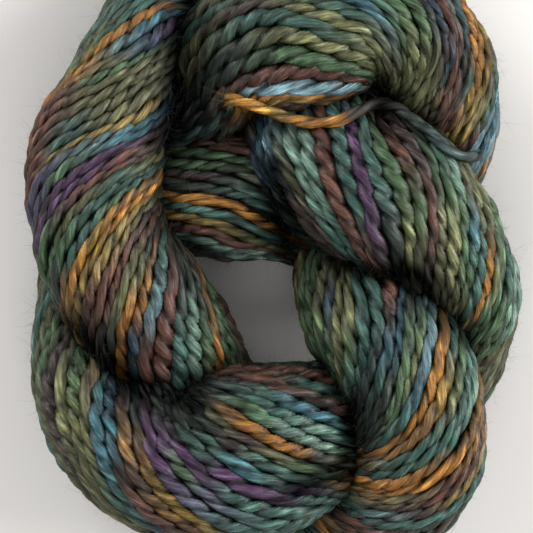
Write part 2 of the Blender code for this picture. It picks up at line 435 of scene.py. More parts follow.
def smooth_rows(rows: Sequence[Sequence[float]], step: float, closed: bool) -> np.ndarray:
    """Finds the Catmull-Rom curve through the rows.

    Args:
        rows: Rows whose first three columns are a place. The others are carried along.
        step: The distance between the new rows, about.
        closed: True if the last row leads back to the first.

    Returns:
        The new rows.
    """
    points = np.array(rows, float)
    count = len(points)
    if closed:
        before, after = points[-1:], points[:2]
    else:
        before, after = 2 * points[:1] - points[1:2], 2 * points[-1:] - points[-2:-1]
    padded = np.vstack([before, points, after])
    made = []
    for first in range(count if closed else count - 1):
        p = padded[first : first + 4]
        gaps = np.sqrt(np.linalg.norm(np.diff(p[:, :3], axis=0), axis=1))
        t = np.concatenate([[0.0], np.cumsum(gaps)])
        span = np.linalg.norm(p[2, :3] - p[1, :3])
        for share in np.linspace(0.0, 1.0, max(2, round(span / step)), endpoint=False):
            at = t[1] + share * (t[2] - t[1])
            level = list(p)
            for reach in (1, 2):
                level = [
                    ((t[i + reach] - at) * level[i] + (at - t[i]) * level[i + 1]) / (t[i + reach] - t[i])
                    for i in range(len(level) - 1)
                ]
            made.append(((t[2] - at) * level[0] + (at - t[1]) * level[1]) / (t[2] - t[1]))
    if not closed:
        made.append(points[-1])
    return np.array(made)


def even_rows(rows: Sequence[Sequence[float]], step: float, closed: bool) -> tuple[np.ndarray, float]:
    """Cuts the smooth curve through the rows into equal lengths.

    Args:
        rows: Rows whose first three columns are a place.
        step: The distance between the new rows, about.
        closed: True if the last row leads back to the first.

    Returns:
        The new rows, and the curve's length.
    """
    return cut_evenly(smooth_rows(rows, step / FINER, closed), step, closed)


def lengths_along(points: np.ndarray) -> np.ndarray:
    """The distance of each point from the first, along the line."""
    return np.concatenate([[0.0], np.cumsum(np.linalg.norm(np.diff(points, axis=0), axis=1))])


def unit(vectors: np.ndarray) -> np.ndarray:
    """The same directions at length 1."""
    return vectors / np.linalg.norm(vectors, axis=-1, keepdims=True)


def waves(
    rng: np.random.Generator,
    count: int,
    length: float,
    lengths: tuple[float, float],
    spread: float,
) -> np.ndarray:
    """Makes a smooth random wave along a line, whose end meets its start.

    Args:
        rng: The source of chance.
        count: How many values the wave has.
        length: The line's length.
        lengths: The lengths of its longest and its shortest swing.
        spread: Its standard deviation.

    Returns:
        The values.
    """
    at = 2 * math.pi * np.arange(count) / count
    fewest = max(1, round(length / lengths[0]))
    most = max(fewest, round(length / lengths[1]))
    times = np.unique(np.linspace(fewest, most, WAVE_PARTS).round())
    total = sum(rng.normal() * np.cos(often * at + rng.uniform(0, 2 * math.pi)) for often in times)
    return total * spread / total.std()


@dataclass
class Route:
    """The middle of a bundle as evenly spaced cross-sections, with the frame of each one.

    across points to the right of a traveller along the route, and upward away from the table.
    """

    sections: Sequence[Section]
    closed: bool
    middle: np.ndarray = field(init=False)
    across: np.ndarray = field(init=False)
    upward: np.ndarray = field(init=False)
    half_width: np.ndarray = field(init=False)
    twist: np.ndarray = field(init=False)
    turned: np.ndarray = field(init=False)

    def __post_init__(self) -> None:
        """Works the frames out from the sections."""
        rows, length = even_rows(self.sections, ROUTE_STEP, self.closed)
        self.middle = rows[:, :3] - np.array([0.0, 0.0, FLAT_DEPTH])
        if self.closed:
            heading = np.roll(self.middle, -1, axis=0) - np.roll(self.middle, 1, axis=0)
        else:
            heading = np.gradient(self.middle, axis=0)
        self.across = unit(np.cross(unit(heading), (0.0, 0.0, 1.0)))
        self.upward = np.cross(self.across, unit(heading))
        self.half_width = rows[:, 3]
        turned = np.cumsum(rows[:, 4]) * length / len(rows)
        # whole turns on a closed route, so that the ends meet
        scale = 360 * round(turned[-1] / 360) / turned[-1] if self.closed else 1.0
        self.turned = np.radians(turned * scale)
        self.twist = np.radians(rows[:, 4] * scale)

    def surface(self, angle: np.ndarray, inset: np.ndarray | float) -> np.ndarray:
        """Finds a line on or under the bundle's surface.

        Args:
            angle: Where the line is round each section, in radians from across towards upward.
            inset: How far under the surface it is.

        Returns:
            A point for each section.
        """
        wide = ((self.half_width - inset) * np.cos(angle))[:, None]
        tall = ((BUNDLE_HALF_HEIGHT - inset) * np.sin(angle))[:, None]
        return self.middle + wide * self.across + tall * self.upward

    def outward(self, angle: np.ndarray) -> np.ndarray:
        """The direction straight out of the bundle at those angles."""
        wide = (np.cos(angle) / self.half_width)[:, None]
        tall = (np.sin(angle) / BUNDLE_HALF_HEIGHT)[:, None]
        return unit(wide * self.across + tall * self.upward)

    def thread_spacing(self, angle: np.ndarray, threads: int) -> np.ndarray:
        """The distance between neighbouring threads at those angles, square to the threads."""
        speed = np.hypot(self.half_width * np.sin(angle), BUNDLE_HALF_HEIGHT * np.cos(angle))
        return 2 * math.pi / threads * speed / np.sqrt(1 + (speed * self.twist) ** 2)


@dataclass
class ThreadLine:
    """The middle line of one thread, with its radius, its dye with any painted shade, and the way out of the
    bundle.
    """

    points: np.ndarray
    radius: np.ndarray
    dye: np.ndarray
    outward: np.ndarray
    closed: bool = True
    open_share: np.ndarray | None = None
    light: np.ndarray | None = None

    def __post_init__(self) -> None:
        """Leaves the line in full light until a shelter shades it."""
        if self.light is None:
            self.light = np.ones(len(self.points))

    def resampled(self, step: float) -> "ThreadLine":
        """Cuts the line into equal lengths.

        Args:
            step: The distance between the new points, about.

        Returns:
            The new line.
        """
        columns = np.column_stack([self.points, self.radius, self.dye, self.outward, self.light])
        new, _ = cut_evenly(columns, step, self.closed)
        return ThreadLine(new[:, :3], new[:, 3], new[:, 4:7], new[:, 7:10], self.closed, light=new[:, 10])


def flat_section(name: str, corners: Sequence[tuple[float, float]]) -> bpy.types.Object:
    """Makes the section of a tube as a flat closed curve.

    Args:
        name: The curve's name.
        corners: The angle and the distance of each corner, clockwise, so that the tube's faces point out.

    Returns:
        The section.
    """
    curve = bpy.data.curves.new(name, "CURVE")
    curve.dimensions = "2D"
    spline = curve.splines.new("POLY")
    spline.points.add(len(corners) - 1)
    for point, (angle, radius) in zip(spline.points, corners):
        point.co = (radius * MM * math.cos(angle), radius * MM * math.sin(angle), 0.0, 1.0)
    spline.use_cyclic_u = True
    return placed(name, curve)


def tube_curve(name: str, section: bpy.types.Object) -> bpy.types.Curve:
    """Starts a curve whose lines each become a tube.

    Args:
        name: The curve's name.
        section: The tubes' section.

    Returns:
        The curve.
    """
    curve = bpy.data.curves.new(name, "CURVE")
    curve.dimensions = "3D"
    curve.twist_mode = "MINIMUM"
    curve.bevel_mode = "OBJECT"
    curve.bevel_object = section
    return curve


def add_line(
    curve: bpy.types.Curve,
    points: np.ndarray,
    sizes: Sequence[float],
    closed: bool = False,
) -> bpy.types.Spline:
    """Adds a line to a curve.

    Args:
        curve: The curve.
        points: The line's points, in millimetres.
        sizes: How large the section is at each of them, as a share of its plain size.
        closed: True if the last point leads back to the first.

    Returns:
        The line.
    """
    spline = curve.splines.new("POLY")
    spline.points.add(len(points) - 1)
    spline.points.foreach_set("co", np.column_stack([points * MM, np.ones(len(points))]).ravel())
    spline.points.foreach_set("radius", sizes)
    spline.use_cyclic_u = closed
    return spline


def with_alpha(colours: np.ndarray) -> np.ndarray:
    """The same colours with a last column of ones."""
    return np.column_stack([colours, np.ones(len(colours))])


def set_attribute(piece: bpy.types.Object, name: str, kind: str, key: str, values: np.ndarray) -> None:
    """Stores a value at each vertex.

    Args:
        piece: The object whose mesh gets it.
        name: The attribute's name.
        kind: Its type.
        key: The name of the value in an attribute of that type.
        values: The values, a row for each vertex.
    """
    attribute = piece.data.attributes.new(name, kind, "POINT")
    attribute.data.foreach_set(key, values.astype(np.float32).ravel())


def curve_to_piece(name: str, curve: bpy.types.Curve) -> bpy.types.Object:
    """Turns a curve to a mesh object.

    Args:
        name: The piece's name.
        curve: The curve, which is removed.

    Returns:
        The mesh object.
    """
    guide = placed(name + "_guide", curve)
    depsgraph = bpy.context.evaluated_depsgraph_get()
    mesh = bpy.data.meshes.new_from_object(guide.evaluated_get(depsgraph))
    bpy.data.objects.remove(guide)
    mesh.name = name
    return placed(name, mesh)


@dataclass
class PlyMesher:
    """Makes two-ply threads along their middle lines.

    The section is two plies that touch. It turns once in each ply pitch, so the plies wind round each
    other as they do in the real thread.
    """

    # the distance of the section's outline from its middle, in turn round half of it, for a thread of
    # the plain width: the crest of a ply, its flanks, and the groove between the plies
    ply_outline: tuple[float, ...] = (0.78, 0.76, 0.66, 0.38, 0.66, 0.76)
    # the share of the painted groove shade that each corner takes
    groove_shares: tuple[float, ...] = (0.0, 0.0, 0.15, 1.0, 0.15, 0.0)
    ring_step: float = 0.48
    fibre_stretch: float = 0.14  # how much slower the fibre pattern changes along the thread than across
    # painted shade darkens the flanks where they look less than the first number out of the bundle, from 1
    # to -1, and leaves them fully lit where they look more than the second
    flank_dark: float = -0.1
    flank_lit: float = 0.75
    flank_least: float = 0.42
    light_from_above: float = 0.6  # against 1 straight out of the bundle
    fibre_lean: float = 0.35  # 0 if the fibres follow the plies, 1 if they run straight along the thread
    ply_unevenness: float = 0.9  # how far the ply runs ahead of its even twist or behind it, in radians
    ply_tone: float = 0.16  # how unlike in lightness the two plies are
    pattern_shift: float = 37.0  # so that no two threads have the same streaks
    groove_depth: float = 0.8  # against the groove's full painted shade
    groove_depths: tuple[float, float] = (0.2, 1.2)
    groove_unevenness: float = 0.3
    dye_spread: float = 0.14  # how uneven the dye is along the thread
    # the lengths of the longest and the shortest swing of each of these
    ply_swings: tuple[float, float] = (90.0, 14.0)
    groove_swings: tuple[float, float] = (30.0, 3.0)
    tone_swings: tuple[float, float] = (40.0, 5.0)
    dye_swings: tuple[float, float] = (9.0, 1.5)

    def outline(self) -> list[tuple[float, float]]:
        """The section's corners as angle and distance, turning so that the faces point out."""
        radii = self.ply_outline * 2
        return [(-2 * math.pi * at / len(radii), radius) for at, radius in enumerate(radii)]

    def flank_shade(self, piece: bpy.types.Object, middles: np.ndarray, ways_out: np.ndarray) -> np.ndarray:
        """Paints shade on the threads' flanks, where the next thread keeps the light away.

        Args:
            piece: The threads' mesh.
            middles: The middle of the thread at each vertex, in millimetres.
            ways_out: The way out of the bundle there.

        Returns:
            A share from 0 to 1 for each vertex.
        """
        places = np.empty(len(middles) * 3)
        piece.data.vertices.foreach_get("co", places)
        lit_way = unit(ways_out + self.light_from_above * np.array([0.0, 0.0, 1.0]))
        facing = (unit(places.reshape(-1, 3) / MM - middles) * lit_way).sum(axis=1)
        lit = np.clip((facing - self.flank_dark) / (self.flank_lit - self.flank_dark), 0.0, 1.0)
        return self.flank_least + (1 - self.flank_least) * lit

    def build(self, name: str, lines: Iterable[ThreadLine]) -> bpy.types.Object:
        """Makes one mesh of several threads.

        Args:
            name: The piece's name.
            lines: The threads' middle lines.

        Returns:
            The piece, with the attributes that its material reads.
        """
        section = flat_section("ply_section", self.outline())
        curve = tube_curve(name, section)
        rng = np.random.default_rng(SEED)
        angles, radii = np.array(self.outline()).T
        # which ply each corner is on, from 1 on the one crest to -1 on the other
        sides = np.array([math.cos(angle) for angle in angles])
        dye, fibre, groove, light, middles, ways_out = [], [], [], [], [], []
        for number, line in enumerate(lines):
            even = line.resampled(self.ring_step)
            count = len(even.points)
            length = lengths_along(even.points)[-1]
            share = np.arange(count) / count
            tilt = PLY_HAND * 2 * math.pi * round(length / PLY_PITCH) * share
            tilt += waves(rng, count, length, self.ply_swings, self.ply_unevenness)
            spline = add_line(curve, even.points, even.radius / (THREAD_WIDTH / 2), even.closed)
            spline.points.foreach_set("tilt", tilt)
            spline.use_smooth = True
            marks = share * length * self.fibre_stretch
            turned = angles - self.fibre_lean * tilt[:, None]
            marks = np.repeat((marks + number * self.pattern_shift)[:, None], len(angles), axis=1)
            streaks = np.stack([radii * np.cos(turned), radii * np.sin(turned), marks], axis=2)
            fibre.append(streaks.reshape(-1, 3))
            # painted shade in the grooves between the plies, deeper in some places than in others
            depth = self.groove_depth + waves(rng, count, length, self.groove_swings, self.groove_unevenness)
            groove.append(np.outer(np.clip(depth, *self.groove_depths), self.groove_shares * 2).ravel())
            tones = 1 + np.outer(waves(rng, count, length, self.tone_swings, self.ply_tone), sides)
            tones += waves(rng, count, length, self.dye_swings, self.dye_spread)[:, None]
            dye.append((even.dye[:, None, :] * tones[:, :, None]).reshape(-1, 3))
            light.append(np.repeat(even.light, len(angles)))
            middles.append(np.repeat(even.points, len(angles), axis=0))
            ways_out.append(np.repeat(even.outward, len(angles), axis=0))
        piece = curve_to_piece(name, curve)
        bpy.data.objects.remove(section)
        # painted shade on the flanks goes into the dye, on top of any painted shade that the lines bring
        flanks = self.flank_shade(piece, np.vstack(middles), np.vstack(ways_out))
        dye = np.vstack(dye) * flanks[:, None]
        set_attribute(piece, "dye", "FLOAT_COLOR", "color", with_alpha(dye))
        set_attribute(piece, "fibre", "FLOAT_VECTOR", "vector", np.vstack(fibre))
        set_attribute(piece, "groove", "FLOAT", "value", np.concatenate(groove))
        set_attribute(piece, "light", "FLOAT", "value", np.concatenate(light) * flanks)
        return piece


class Shading(NamedTuple):
    """How a pattern shades the dye: the values where that starts and ends, and the shades it gives there."""

    values: tuple[float, float]
    shades: tuple[float, float]


@dataclass(frozen=True)
class LustrousThread:
    """Plied silk embroidery thread, dyed by hand.

    Its long smooth fibres lie side by side along the thread and give it a soft gloss. A painted
    highlight brightens some strands of fibres, and painted shade keeps the grooves between plies dark.
    """

    name: str = "plied_silk_thread"
    roughness: float = 0.40
    specular: float = 0.32
    sheen: float = 0.01
    sheen_roughness: float = 0.4
    fibre_width: float = 0.10  # drawn coarser than the real 0.02, so that it shows
    strand_width: float = 0.28  # groups of fibres that lie together
    bump_height: float = 0.14
    # painted shade at the bottom of a groove
    groove_shade: float = 0.72
    painted_glint: float = 0.8  # painted highlight: how much brighter the glinting strands are
    # the white that the painted highlight adds
    painted_glint_white: float = 0.015
    unevenness_size: float = 3.0  # how far apart lighter and darker spots of dye lie
    streak_shading: Shading = Shading((0.34, 0.62), (0.42, 1.20))
    strand_shading: Shading = Shading((0.35, 0.65), (0.70, 1.24))
    spot_shading: Shading = Shading((0.30, 0.70), (0.80, 1.20))
    bright_strands: tuple[float, float] = (0.56, 0.72)  # of the strands' pattern, those that get the painted highlight
    dull_light: float = 0.1  # threads with less light than this have no gloss

    @staticmethod
    def noise(
        tree: bpy.types.NodeTree,
        place: bpy.types.NodeSocket,
        scale: float,
        detail: float,
    ) -> bpy.types.NodeSocket:
        """Adds a noise pattern.

        Args:
            tree: The material's nodes.
            place: Where on the thread a point lies.
            scale: How many times the pattern repeats in a unit of that.
            detail: How many finer patterns are laid over it.

        Returns:
            The pattern's value.
        """
        made = add_node(tree, "ShaderNodeTexNoise", None, {"Vector": place, "Scale": scale, "Detail": detail})
        return made.outputs["Fac"]

    @staticmethod
    def ramp(
        tree: bpy.types.NodeTree,
        value: bpy.types.NodeSocket,
        source: tuple[float, float],
        target: tuple[float, float],
    ) -> bpy.types.NodeSocket:
        """Adds a change of one range of values into another.

        Args:
            tree: The material's nodes.
            value: The value that is changed.
            source: The range's ends.
            target: What those ends become.

        Returns:
            The new value.
        """
        ends = dict(zip(("From Min", "From Max", "To Min", "To Max"), source + target))
        return add_node(tree, "ShaderNodeMapRange", None, {"Value": value, **ends}).outputs["Result"]

    def material(self) -> bpy.types.Material:
        """Builds the finish.

        Returns:
            The material.
        """
        made, tree, shader = new_material(self.name, self.roughness)
        shader.inputs["Sheen Weight"].default_value = self.sheen
        shader.inputs["Sheen Roughness"].default_value = self.sheen_roughness
        shader.inputs["Specular IOR Level"].default_value = self.specular
        dye, fibre, groove, light = (
            add_node(tree, "ShaderNodeAttribute", {"attribute_name": name})
            for name in ("dye", "fibre", "groove", "light")
        )
        place = add_node(tree, "ShaderNodeTexCoord").outputs["Object"]
        along = fibre.outputs["Vector"]
        # a fibre or a strand is half of a repeat: its bright part, without the dark one beside it
        streaks = self.noise(tree, along, 0.5 / self.fibre_width, 3.0)
        strands = self.noise(tree, along, 0.5 / self.strand_width, 2.0)
        spots = self.noise(tree, place, 1 / (self.unevenness_size * MM), 2.0)
        shades = [
            self.ramp(tree, streaks, *self.streak_shading),
            self.ramp(tree, strands, *self.strand_shading),
            self.ramp(tree, spots, *self.spot_shading),
            # painted shade in the grooves between the plies
            self.ramp(tree, groove.outputs["Fac"], (0.0, 1.0), (1.0, 1 - self.groove_shade)),
            # painted highlight on the glinting strands
            self.ramp(tree, strands, self.bright_strands, (1.0, 1.0 + self.painted_glint)),
        ]
        shade = shades[0]
        for other in shades[1:]:
            product = add_node(tree, "ShaderNodeMath", {"operation": "MULTIPLY"}, {0: shade, 1: other})
            shade = product.outputs["Value"]
        dyed = add_node(
            tree,
            "ShaderNodeVectorMath",
            {"operation": "SCALE"},
            {"Vector": dye.outputs["Color"], "Scale": shade},
        )
        shine = self.ramp(tree, light.outputs["Fac"], (self.dull_light, 1.0), (0.0, self.specular))
        tree.links.new(shine, shader.inputs["Specular IOR Level"])
        # painted highlight: a little white on the glinting strands
        bright = self.ramp(tree, strands, self.bright_strands, (0.0, self.painted_glint_white))
        colour = add_node(
            tree,
            "ShaderNodeVectorMath",
            {"operation": "ADD"},
            {0: dyed.outputs["Vector"], 1: bright},
        )
        tree.links.new(colour.outputs["Vector"], shader.inputs["Base Color"])
        bump = add_node(
            tree,
            "ShaderNodeBump",
            None,
            {"Height": streaks, "Distance": self.bump_height * MM, "Strength": 1.0},
        )
        tree.links.new(bump.outputs["Normal"], shader.inputs["Normal"])
        return made


@dataclass(frozen=True)
class LooseFibreFinish:
    """Single silk fibres, which take the dye of the thread that they stand on, with its painted shade."""

    name: str = "loose_silk_fibres"
    roughness: float = 0.5

    def material(self) -> bpy.types.Material:
        """Builds the finish.

        Returns:
            The material.
        """
        made, tree, shader = new_material(self.name, self.roughness)
        dye = add_node(tree, "ShaderNodeAttribute", {"attribute_name": "dye"})
        tree.links.new(dye.outputs["Color"], shader.inputs["Base Color"])
        return made


@dataclass(frozen=True)
class MottledFinish:
    """A matt finish in soft spots of two close colours.

    It serves for the silk threads inside the bundle, painted near black as shade where no light picks
    out a single one, in spots where the dye is uneven, and for the floor's paper, whose pulp is a little
    cloudy.
    """

    name: str
    dark: str
    light: str
    spot_size: float
    roughness: float = 0.9

    def material(self) -> bpy.types.Material:
        """Builds the finish.

        Returns:
            The material.
        """
        made, tree, shader = new_material(self.name, self.roughness)
        place = add_node(tree, "ShaderNodeTexCoord").outputs["Object"]
        scale = 1 / (self.spot_size * MM)
        spots = add_node(tree, "ShaderNodeTexNoise", None, {"Vector": place, "Scale": scale, "Detail": 2.0})
        # a mix node has sockets for numbers and places too: the colours are the seventh and the eighth
        ends = {6: (*linear(self.dark), 1.0), 7: (*linear(self.light), 1.0)}
        mixed = add_node(tree, "ShaderNodeMix", {"data_type": "RGBA"}, {0: spots.outputs["Fac"], **ends})
        tree.links.new(mixed.outputs[2], shader.inputs["Base Color"])
        return made


def dress(piece: bpy.types.Object, material: bpy.types.Material, node: str) -> None:
    """Gives a piece its finish and its place in the frame.

    Args:
        piece: The piece.
        material: Its finish.
        node: The CAD solid that it stands for.
    """
    piece.data.materials.clear()
    piece.data.materials.append(material)
    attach(piece, "root")
    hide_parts(node)
    LOG.info("%s: %d faces", piece.name, len(piece.data.polygons))


@dataclass
class Shelter:
    """How far the folds beside and above a point keep the light from it.

    It paints that shade into the dyes. Deep between the folds the fine fibres of the threads swallow
    what light gets in, so the painted shade there is almost black.
    """

    directions: int = 72
    clearance: float = 1.5  # rays start this far out from a thread's middle
    step: float = 1.0
    grazing: float = 0.08  # rays that leave the bundle more flatly than this are left out
    open_share: float = 0.97  # a point that sees this much of the room round it is fully lit
    darkest: float = 0.10
    strength: float = 2.1

    def __post_init__(self) -> None:
        """Makes the search tree of the wound solid, and spreads the directions evenly over a ball."""
        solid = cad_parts["skein"].data
        corners = [vertex.co.copy() for vertex in solid.vertices]
        self.tree = BVHTree.FromPolygons(corners, [tuple(face.vertices) for face in solid.polygons])
        number = np.arange(self.directions) + 0.5
        height = 1 - 2 * number / self.directions
        turn = number * math.pi * (3 - math.sqrt(5))
        flat = np.sqrt(1 - height**2)
        self.ways = np.column_stack([flat * np.cos(turn), flat * np.sin(turn), height])

    def openness(self, points: np.ndarray, outward: np.ndarray) -> np.ndarray:
        """Finds how much of the light from outside reaches each point.

        Args:
            points: The points, in millimetres.
            outward: The way out of the bundle at each point.

        Returns:
            A share from 0 to 1 for each point.
        """
        facing = np.clip(outward @ self.ways.T, 0.0, None)
        facing[facing < self.grazing] = 0.0
        ways = [Vector(way) for way in self.ways]
        found = np.zeros(len(points))
        for at, (point, out) in enumerate(zip(points, outward)):
            start = Vector((point + out * self.clearance) * MM)
            seen = sum(
                weight
                for weight, way in zip(facing[at], ways)
                if weight > 0 and self.tree.ray_cast(start, way)[0] is None
            )
            found[at] = seen / facing[at].sum()
        return found

    @staticmethod
    def crease_light(points: np.ndarray) -> np.ndarray:
        """Finds how much light the charted creases leave at each point, as painted shade and painted light.

        Args:
            points: The points, in millimetres.

        Returns:
            A share for each point, which passes 1 where a crease lets more light in.
        """
        light = np.ones(len(points))
        for crease in CREASES:
            start = np.array([crease.x, crease.y])
            way = np.array([crease.far_x, crease.far_y]) - start
            share = np.clip((points[:, :2] - start) @ way / (way @ way), 0.0, 1.0)
            away = np.linalg.norm(points[:, :2] - start - share[:, None] * way, axis=1)
            light *= 1 - crease.loss * np.exp(-((away / crease.reach) ** 2))
        return light

    def shade(self, line: ThreadLine) -> np.ndarray:
        """Paints shade into a line's dye where the folds shelter it.

        Args:
            line: The thread's line, whose dye is changed.

        Returns:
            How open each of its points is.
        """
        along = lengths_along(line.points)
        every = max(1, round(self.step / (along[-1] / len(along))))
        found = self.openness(line.points[::every], line.outward[::every])
        found = np.interp(along, along[::every], found)
        lit = np.clip(found / self.open_share, 0.0, 1.0) ** self.strength
        # the charted creases add their painted shade, and painted light where their loss is negative
        lit = (self.darkest + (1 - self.darkest) * lit) * self.crease_light(line.points)
        line.dye = line.dye * lit[:, None]
        line.light = lit
        return found


@dataclass
class WoundBundle:
    """The threads that go the whole way round, each a helix about the bundle's middle."""

    route: Route
    threads: int = 26
    pieces: int = 5
    depth: float = 0.50  # how far the threads' middles lie under the bundle's surface
    fullness: float = 0.55  # radius of a thread for each millimetre between neighbours
    thinnest: float = 0.60
    thickest: float = 1.05
    group_wander: float = 0.10  # in spacings, as all that follow
    sideways_wander: float = 0.07
    depth_wander: float = 0.16
    width_wander: float = 0.06
    # the lengths of the longest and the shortest swing of each of these
    group_swings: tuple[float, float] = (60.0, 14.0)
    own_swings: tuple[float, float] = (50.0, 12.0)
    depth_swings: tuple[float, float] = (36.0, 9.0)
    width_swings: tuple[float, float] = (40.0, 8.0)
    # the part of a crossing that shows from above, in degrees round the section
    shown_from: float = 160.0
    shown_to: float = 20.0

    def dye_along(self, thread: int, angle: np.ndarray, along: np.ndarray, length: float) -> np.ndarray:
        """Finds a thread's colour all the way round.

        Args:
            thread: The thread's number.
            angle: Where the thread is round each section, in degrees, falling all the way.
            along: How far along the thread each section is.
            length: The thread's length.

        Returns:
            A linear colour for each section.
        """
        chart = [word for words in FOLD_DYES.values() for word in words.split()]
        turns = round(len(chart) / self.threads)
        far_angle = np.concatenate([angle + 360 * turns, angle, angle - 360 * turns])
        far_along = np.concatenate([along - length, along, along + length])
        marks, colours = [], []
        for turn in range(2 * turns, -2 * turns, -1):
            crossing = thread - self.threads * turn
            shown = np.array([self.shown_from, self.shown_to]) + 360 * turn
            if shown[0] > far_angle[0] or shown[1] < far_angle[-1]:
                continue
            start, end = np.interp(-shown, -far_angle, far_along)
            shares, dyes = dye_marks(chart[(crossing - FIRST_CHARTED_CROSSING) % len(chart)])
            marks.extend(start + shares * (end - start))
            colours.extend(dyes)
        return read_off(along, marks, np.array(colours))

    def wander(self) -> np.ndarray:
        """Works out how far each thread strays round the bundle from its even place.

        Neighbours stray together, in groups, and a little on their own.

        Returns:
            An angle in radians for each thread and section, where the threads' ends join up.
        """
        rng = np.random.default_rng(SEED)
        count, length = len(self.route.middle), len(self.route.middle) * ROUTE_STEP
        apart = 2 * math.pi / self.threads
        place = 2 * math.pi * np.arange(self.threads) / self.threads
        total = np.zeros((self.threads, count))
        for group in (1, 2, 3, 4):
            for phase in (0.0, math.pi / 2):
                swing = waves(rng, count, length, self.group_swings, self.group_wander * apart)
                total += np.outer(np.cos(group * place + phase), swing)
        own = [waves(rng, count, length, self.own_swings, self.sideways_wander * apart) for _ in place]
        return total + np.array(own)

    def line(self, thread: int, angles: np.ndarray) -> ThreadLine:
        """Lays one thread.

        Args:
            thread: Its number.
            angles: Where every thread is round each section.

        Returns:
            Its middle line.
        """
        rng = np.random.default_rng(SEED + thread)
        angle = angles[thread]
        count, length = len(angle), len(angle) * ROUTE_STEP
        straight = 2 * math.pi * thread / self.threads + self.route.turned
        before = angles[thread - 1] - (2 * math.pi if thread == 0 else 0.0)
        after = angles[(thread + 1) % self.threads] + (2 * math.pi if thread == self.threads - 1 else 0.0)
        room = (after - before) / 2 / (2 * math.pi / self.threads)
        radius = self.fullness * room * self.route.thread_spacing(angle, self.threads)
        radius = np.clip(radius, self.thinnest, self.thickest)
        radius = radius * (1 + waves(rng, count, length, self.width_swings, self.width_wander))
        depth = self.depth + waves(rng, count, length, self.depth_swings, self.depth_wander)
        points = self.route.surface(angle, depth)
        points[:, 2] = np.maximum(points[:, 2], radius * CREST_REACH)
        loop = lengths_along(np.vstack([points, points[:1]]))
        dye = self.dye_along(thread, np.degrees(straight), loop[:-1], loop[-1])
        return ThreadLine(points, radius, dye, self.route.outward(angle))

    def build(self, mesher: PlyMesher, shelter: Shelter, material: bpy.types.Material) -> list[ThreadLine]:
        """Makes the threads in a few pieces.

        Args:
            mesher: What gives the threads their plies.
            shelter: What paints shade on them between the folds.
            material: Their finish.

        Returns:
            The threads' lines.
        """
        even = 2 * math.pi * np.arange(self.threads)[:, None] / self.threads + self.route.turned
        angles = even + self.wander()
        lines = [self.line(thread, angles) for thread in range(self.threads)]
        for line in lines:
            line.open_share = shelter.shade(line)
        for number, group in enumerate(np.array_split(np.arange(self.threads), self.pieces), 1):
            piece = mesher.build(f"wound_threads_{number}", [lines[thread] for thread in group])
            dress(piece, material, "skein")
        return lines


@dataclass
class LowBranch:
    """The half of the bundle that runs low across the top of the hole.

    Its threads go out along the branch and come back through it, and both turns are hidden under the
    folds beside it.
    """

    route: Route
    lines: int = 34
    depth: float = 0.50
    radius: float = 0.60
    narrowing: float = 0.35  # size of the hidden ends, as a share of the whole
    narrowed_share: float = 0.12  # how much of the length each end takes to narrow
    shown_share: float = 0.5  # how much of the length shows, about the middle
    sideways_wander: float = 0.10
    depth_wander: float = 0.10
    swings: tuple[float, float] = (30.0, 9.0)  # the lengths of the longest and the shortest swing

    def line(self, number: int, rng: np.random.Generator) -> ThreadLine:
        """Lays one line of the branch.

        Args:
            number: The line's number.
            rng: The source of chance.

        Returns:
            Its middle line, from the left end to the right one.
        """
        count = len(self.route.middle)
        apart = 2 * math.pi / self.lines
        angle = apart * number + self.route.turned
        length = count * ROUTE_STEP
        angle = angle + waves(rng, count, length, self.swings, self.sideways_wander * apart)
        depth = self.depth + waves(rng, count, length, self.swings, self.depth_wander)
        points = self.route.surface(angle, depth)
        share = np.linspace(0.0, 1.0, count)
        to_end = np.minimum(np.minimum(share, 1 - share) / self.narrowed_share, 1.0)
        size = self.narrowing + (1 - self.narrowing) * np.sin(to_end * math.pi / 2)
        points = self.route.middle + (points - self.route.middle) * size[:, None]
        points[:, 2] = np.maximum(points[:, 2], self.radius * CREST_REACH)
        marks, colours = dye_marks(BRANCH_DYES.split()[number])
        marks = 0.5 + self.shown_share * (marks - 0.5)
        dye = read_off(share, marks, colours)
        return ThreadLine(points, np.full(count, self.radius), dye, self.route.outward(angle), False)

    def build(self, mesher: PlyMesher, shelter: Shelter, material: bpy.types.Material) -> list[ThreadLine]:
        """Makes the branch.

        Args:
            mesher: What gives the threads their plies.
            shelter: What paints shade on them between the folds.
            material: Their finish.

        Returns:
            The threads' lines.
        """
        rng = np.random.default_rng(SEED)
        lines = [self.line(number, rng) for number in range(self.lines)]
        for line in lines:
            line.open_share = shelter.shade(line)
        loops = []
        for there, back in zip(lines[: self.lines // 2], lines[self.lines // 2 :]):
            columns = [
                np.concatenate([getattr(there, name), getattr(back, name)[::-1]])
                for name in ("points", "radius", "dye", "outward", "light")
            ]
            loops.append(ThreadLine(*columns[:4], light=columns[4]))
        dress(mesher.build("branch_threads", loops), material, "skein")
        return lines


